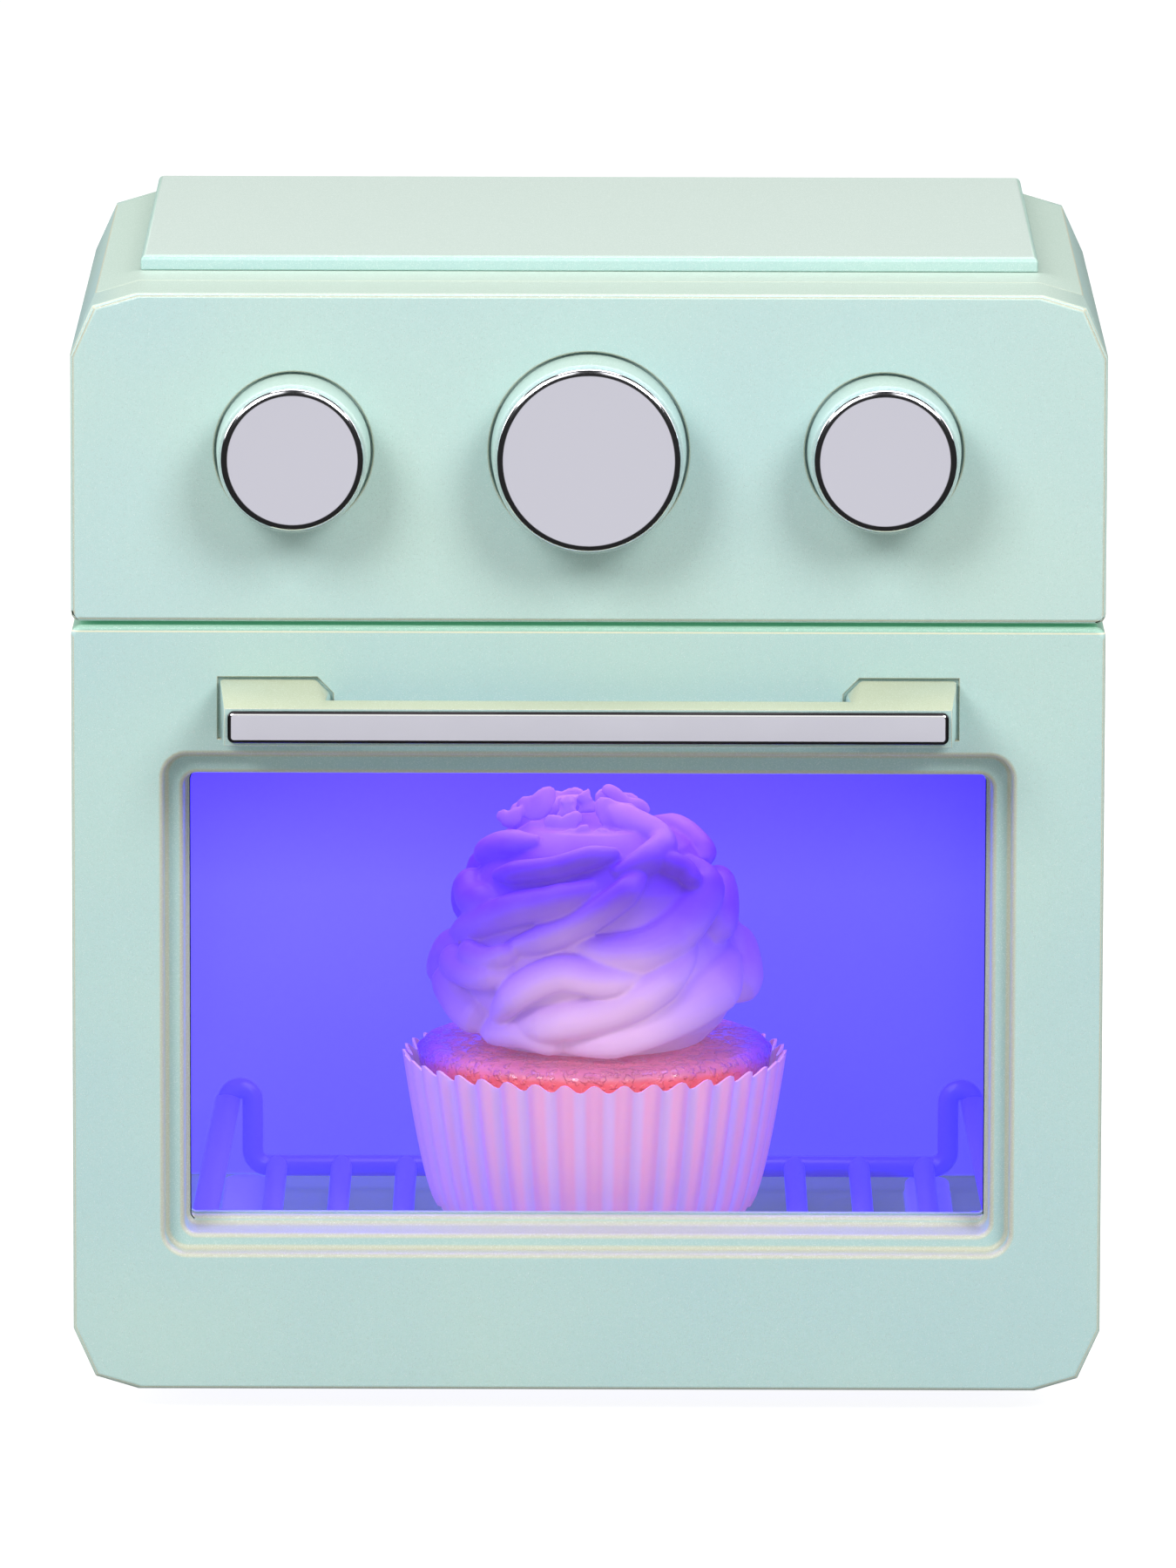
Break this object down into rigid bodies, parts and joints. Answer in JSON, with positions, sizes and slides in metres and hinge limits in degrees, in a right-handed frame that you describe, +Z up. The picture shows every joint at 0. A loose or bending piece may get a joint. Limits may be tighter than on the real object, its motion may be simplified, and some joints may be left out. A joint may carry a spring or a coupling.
{
  "type": "toy oven",
  "caption": "Free-standing toy oven with a drop-down glazed door, turning knobs, a lit cavity, a wire rack and a play cupcake.",
  "frame": {"origin": "centre of the bounding box at the table, under the feet", "axes": "+Z up, +X to the right seen from the front, the door and knobs face -Y"},
  "size_m": [0.112, 0.0938, 0.1251],
  "materials": {
    "mint_plastic": "pearl mint with fine glitter, satin gloss",
    "top_plastic": "pearl mint, a shade greyer",
    "cavity_plastic": "smooth violet-blue, lit from above",
    "lens_plastic": "frosted, translucent",
    "foot_rubber": "matt",
    "bright_trim": "mirror bright plating",
    "steel": "plain",
    "clip_steel": "dark spring steel",
    "washer_metal": "plain",
    "contact_metal": "nickel plated",
    "magnet": "dull grey",
    "dark_plastic": "matt black",
    "board": "green laminate",
    "emitter": "clear dome",
    "cell_jacket": "plain printed sleeve without any marks",
    "lead_red": "insulated wire",
    "lead_white": "insulated wire",
    "lead_black": "insulated wire",
    "window": "clear",
    "rack_finish": "smooth, silvery violet",
    "cup_paper": "pleated, pink",
    "cake": "baked, with a slight gloss",
    "frosting": "smooth, creamy"
  },
  "bodies": {
    "case": {"body_shell": "mint_plastic", "control_panel": "mint_plastic", "top_plate": "top_plastic", "back_cover": "mint_plastic", "feet": "foot_rubber", "cavity_liner": "cavity_plastic", "hinge_bracket_left": "steel", "hinge_bracket_right": "steel", "catch_plates": "steel", "light_lens": "lens_plastic", "light_board": "board", "light_emitters": "emitter", "main_board": "board", "switch_left": "dark_plastic", "switch_middle": "dark_plastic", "switch_right": "dark_plastic", "battery_box": "dark_plastic", "battery_1": "cell_jacket", "battery_2": "cell_jacket", "battery_3": "cell_jacket", "battery_contacts": "contact_metal", "battery_springs": "contact_metal", "battery_cover": "mint_plastic", "speaker": "dark_plastic", "case_screws": "steel", "panel_screws": "steel", "liner_screws": "steel", "bracket_screws": "steel", "board_screws": "steel", "battery_lead": "lead_red", "light_lead": "lead_white", "speaker_lead": "lead_black"},
    "door": {"door_outer": "mint_plastic", "door_inner": "mint_plastic", "window_pane": "window", "door_handle": "mint_plastic", "handle_strip": "bright_trim", "handle_screws": "steel", "door_screws": "steel", "hinge_pins": "steel", "door_magnets": "magnet"},
    "left_knob": {"knob_left": "mint_plastic", "knob_left_cap": "bright_trim", "knob_left_washer": "washer_metal", "knob_left_clip": "clip_steel"},
    "middle_knob": {"knob_middle": "mint_plastic", "knob_middle_cap": "bright_trim", "knob_middle_washer": "washer_metal", "knob_middle_clip": "clip_steel"},
    "right_knob": {"knob_right": "mint_plastic", "knob_right_cap": "bright_trim", "knob_right_washer": "washer_metal", "knob_right_clip": "clip_steel"},
    "rack_and_cupcake": {"rack": "rack_finish", "cupcake_paper": "cup_paper", "cupcake_cake": "cake", "cupcake_frosting": "frosting"}
  },
  "joints": [
    {"name": "door_hinge", "type": "hinge", "parent": "case", "child": "door", "pos_m": [0, -0.0314, 0.0086], "axis": [1, 0, 0], "range_deg": [0, 83]},
    {"name": "rack_slide", "type": "slide", "parent": "case", "child": "rack_and_cupcake", "axis": [0, -1, 0], "range_m": [0, 0.012]},
    {"name": "left_knob_turn", "type": "hinge", "parent": "case", "child": "left_knob", "pos_m": [-0.0319, -0.0371, 0.1063], "axis": [0, 1, 0], "continuous": true},
    {"name": "middle_knob_turn", "type": "hinge", "parent": "case", "child": "middle_knob", "pos_m": [0, -0.0371, 0.1063], "axis": [0, 1, 0], "range_deg": [0, 300]},
    {"name": "right_knob_turn", "type": "hinge", "parent": "case", "child": "right_knob", "pos_m": [0.0319, -0.0371, 0.1063], "axis": [0, 1, 0], "continuous": true}
  ],
  "couplings": [
    {"joint": "rack_slide", "follows": "door_hinge", "m_per_rad": 0.00828}
  ]
}
